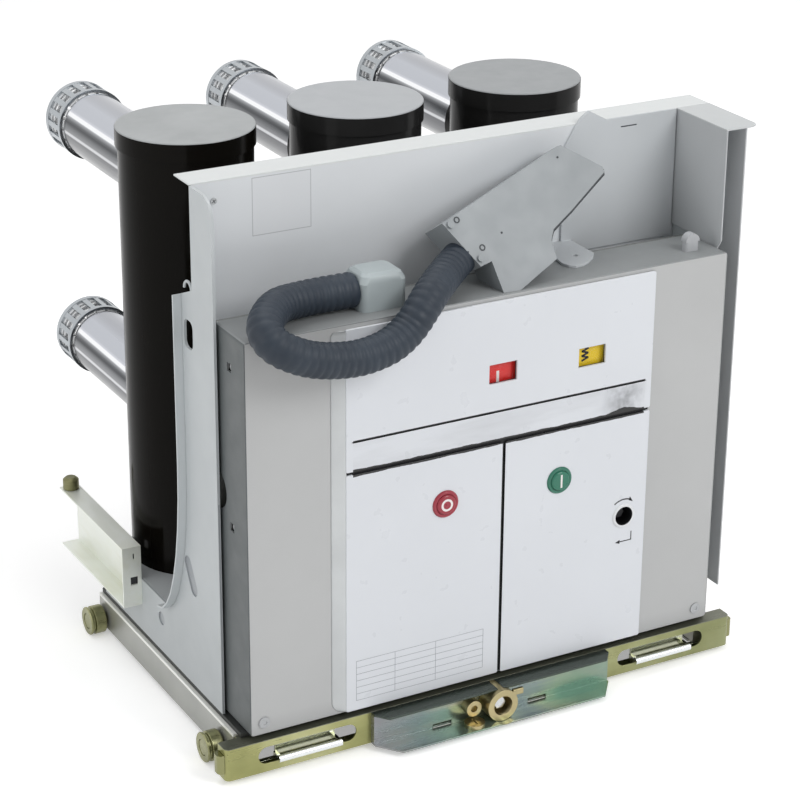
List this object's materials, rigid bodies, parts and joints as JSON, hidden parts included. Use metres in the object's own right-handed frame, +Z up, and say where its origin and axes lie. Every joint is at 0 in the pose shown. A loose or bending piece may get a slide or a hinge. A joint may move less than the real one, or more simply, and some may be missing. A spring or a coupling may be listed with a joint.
{
  "type": "indoor vacuum circuit breaker",
  "caption": "Withdrawable indoor vacuum circuit breaker on a racking truck, with insulated poles, round contact arms with finger clusters, a mechanism cover and a control plug on a hose.",
  "frame": {"origin": "on the floor, midway between the phases and between the lip of the racking tray and the ends of the contact clusters", "axes": "+X to the right across the phases as the operator sees it, +Y away from the operator into the cubicle, +Z up"},
  "size_m": [0.671, 0.6909, 0.6485],
  "materials": {
    "zinc_steel": "bright zinc plated",
    "olive_zinc": "olive passivated zinc",
    "teal_zinc": "iridescent passivated zinc",
    "brass": "satin",
    "bright_steel": "bright",
    "frame_paint": "satin",
    "plate_paint": "satin",
    "cover_paint": "satin powder coat",
    "panel_white": "satin",
    "black_joint": "matt",
    "lens": "clear",
    "stop_red": "satin",
    "close_green": "satin",
    "collar_grey": "satin",
    "flag_yellow": "satin",
    "dark_steel": "oiled",
    "coil_brown": "varnished",
    "epoxy_black": "gloss",
    "cap_grey": "satin",
    "copper": "silvered copper",
    "ceramic": "glazed",
    "silvered": "silver plated",
    "insulator": "moulded",
    "yellow_zinc": "pale yellow zinc",
    "plug_grey": "satin",
    "peg_white": "satin",
    "hose_blue": "satin corrugated"
  },
  "bodies": {
    "truck": {"chassis_frame": "zinc_steel", "deck_plate": "zinc_steel", "racking_nut": "brass", "wheel_axles": "olive_zinc", "side_frame_left": "frame_paint", "side_frame_right": "frame_paint", "mechanism_wall": "zinc_steel", "upper_plate": "plate_paint", "right_wing": "plate_paint", "front_cover": "cover_paint", "panel_gasket": "black_joint", "upper_panel": "panel_white", "lower_panels": "panel_white", "window_lenses": "lens", "button_collars": "collar_grey", "charging_socket": "collar_grey", "flag_guides": "zinc_steel", "cover_screws": "zinc_steel", "mechanism_cheeks": "zinc_steel", "spring_motor": "dark_steel", "magnet_coils": "coil_brown", "pole_beam": "plate_paint", "pole_cylinders": "epoxy_black", "pole_caps": "cap_grey", "terminal_blocks": "copper", "vacuum_bottles": "ceramic", "contact_arms": "silvered", "cluster_fingers": "silvered", "cluster_cages": "silvered", "cluster_springs": "silvered", "shaft_bearings": "brass", "shutter_rails": "yellow_zinc", "hose_fitting": "plug_grey", "parking_socket": "plug_grey", "cover_peg": "peg_white", "control_hose": "hose_blue", "plug_shell": "plug_grey"},
    "carriage": {"front_beam": "olive_zinc", "beam_slides": "zinc_steel", "racking_tray": "teal_zinc", "crank_cup": "brass", "key_disc": "olive_zinc"},
    "screw": {"racking_screw": "bright_steel"},
    "latch_l": {"latch_left": "bright_steel"},
    "latch_r": {"latch_right": "bright_steel"},
    "wheel_fl": {"wheel_front_left": "olive_zinc"},
    "wheel_fr": {"wheel_front_right": "olive_zinc"},
    "wheel_rl": {"wheel_rear_left": "olive_zinc"},
    "wheel_rr": {"wheel_rear_right": "olive_zinc"},
    "stop": {"stop_button": "stop_red"},
    "close": {"close_button": "close_green"},
    "charge_shaft": {"charging_shaft": "bright_steel"},
    "flag_position": {"position_flag": "stop_red"},
    "flag_spring": {"spring_flag": "flag_yellow"},
    "shaft": {"main_shaft": "dark_steel"},
    "moving_l": {"contact_left": "insulator"},
    "moving_m": {"contact_middle": "insulator"},
    "moving_r": {"contact_right": "insulator"},
    "roller_l": {"guide_roller_left": "olive_zinc"},
    "roller_r": {"guide_roller_right": "olive_zinc"}
  },
  "joints": [
    {"name": "rack_travel", "type": "slide", "parent": "truck", "child": "carriage", "axis": [0, -1, 0], "range_m": [0, 0.2]},
    {"name": "rack_screw_turn", "type": "hinge", "parent": "carriage", "child": "screw", "pos_m": [0, -0.3, 0.0255], "axis": [0, 1, 0], "range_deg": [0, 7200]},
    {"name": "latch_left_slide", "type": "slide", "parent": "carriage", "child": "latch_l", "axis": [1, 0, 0], "range_m": [0, 0.012]},
    {"name": "latch_right_slide", "type": "slide", "parent": "carriage", "child": "latch_r", "axis": [-1, 0, 0], "range_m": [0, 0.012]},
    {"name": "wheel_fl_turn", "type": "hinge", "parent": "truck", "child": "wheel_fl", "pos_m": [-0.316, -0.241, 0.017], "axis": [1, 0, 0], "continuous": true},
    {"name": "wheel_fr_turn", "type": "hinge", "parent": "truck", "child": "wheel_fr", "pos_m": [0.316, -0.241, 0.017], "axis": [1, 0, 0], "continuous": true},
    {"name": "wheel_rl_turn", "type": "hinge", "parent": "truck", "child": "wheel_rl", "pos_m": [-0.316, 0.087, 0.017], "axis": [1, 0, 0], "continuous": true},
    {"name": "wheel_rr_turn", "type": "hinge", "parent": "truck", "child": "wheel_rr", "pos_m": [0.316, 0.087, 0.017], "axis": [1, 0, 0], "continuous": true},
    {"name": "stop_press", "type": "slide", "parent": "truck", "child": "stop", "axis": [0, 1, 0], "range_m": [0, 0.005], "stiffness_N_per_m": 400, "springref_m": -0.003},
    {"name": "close_press", "type": "slide", "parent": "truck", "child": "close", "axis": [0, 1, 0], "range_m": [0, 0.005], "stiffness_N_per_m": 400, "springref_m": -0.003},
    {"name": "charge_turn", "type": "hinge", "parent": "truck", "child": "charge_shaft", "pos_m": [0.169, -0.25, 0.209], "axis": [0, 1, 0], "continuous": true},
    {"name": "spring_flag_slide", "type": "slide", "parent": "truck", "child": "flag_spring", "axis": [0, 0, -1], "range_m": [0, 0.025]},
    {"name": "main_shaft_turn", "type": "hinge", "parent": "truck", "child": "shaft", "pos_m": [0, -0.023, 0.084], "axis": [-1, 0, 0], "range_deg": [0, 14]},
    {"name": "contact_left_slide", "type": "slide", "parent": "truck", "child": "moving_l", "axis": [0, 0, -1], "range_m": [0, 0.011]},
    {"name": "contact_middle_slide", "type": "slide", "parent": "truck", "child": "moving_m", "axis": [0, 0, -1], "range_m": [0, 0.011]},
    {"name": "contact_right_slide", "type": "slide", "parent": "truck", "child": "moving_r", "axis": [0, 0, -1], "range_m": [0, 0.011]},
    {"name": "position_flag_slide", "type": "slide", "parent": "truck", "child": "flag_position", "axis": [0, 0, -1], "range_m": [0, 0.025]},
    {"name": "roller_left_turn", "type": "hinge", "parent": "truck", "child": "roller_l", "pos_m": [-0.312, 0.155, 0.166], "axis": [0, 0, 1], "continuous": true},
    {"name": "roller_right_turn", "type": "hinge", "parent": "truck", "child": "roller_r", "pos_m": [0.312, 0.155, 0.166], "axis": [0, 0, 1], "continuous": true}
  ],
  "couplings": [
    {"joint": "rack_screw_turn", "follows": "rack_travel", "rad_per_m": 628.32},
    {"joint": "position_flag_slide", "follows": "main_shaft_turn", "m_per_rad": 0.102},
    {"joint": "contact_left_slide", "follows": "main_shaft_turn", "m_per_rad": 0.045},
    {"joint": "contact_middle_slide", "follows": "main_shaft_turn", "m_per_rad": 0.045},
    {"joint": "contact_right_slide", "follows": "main_shaft_turn", "m_per_rad": 0.045}
  ]
}
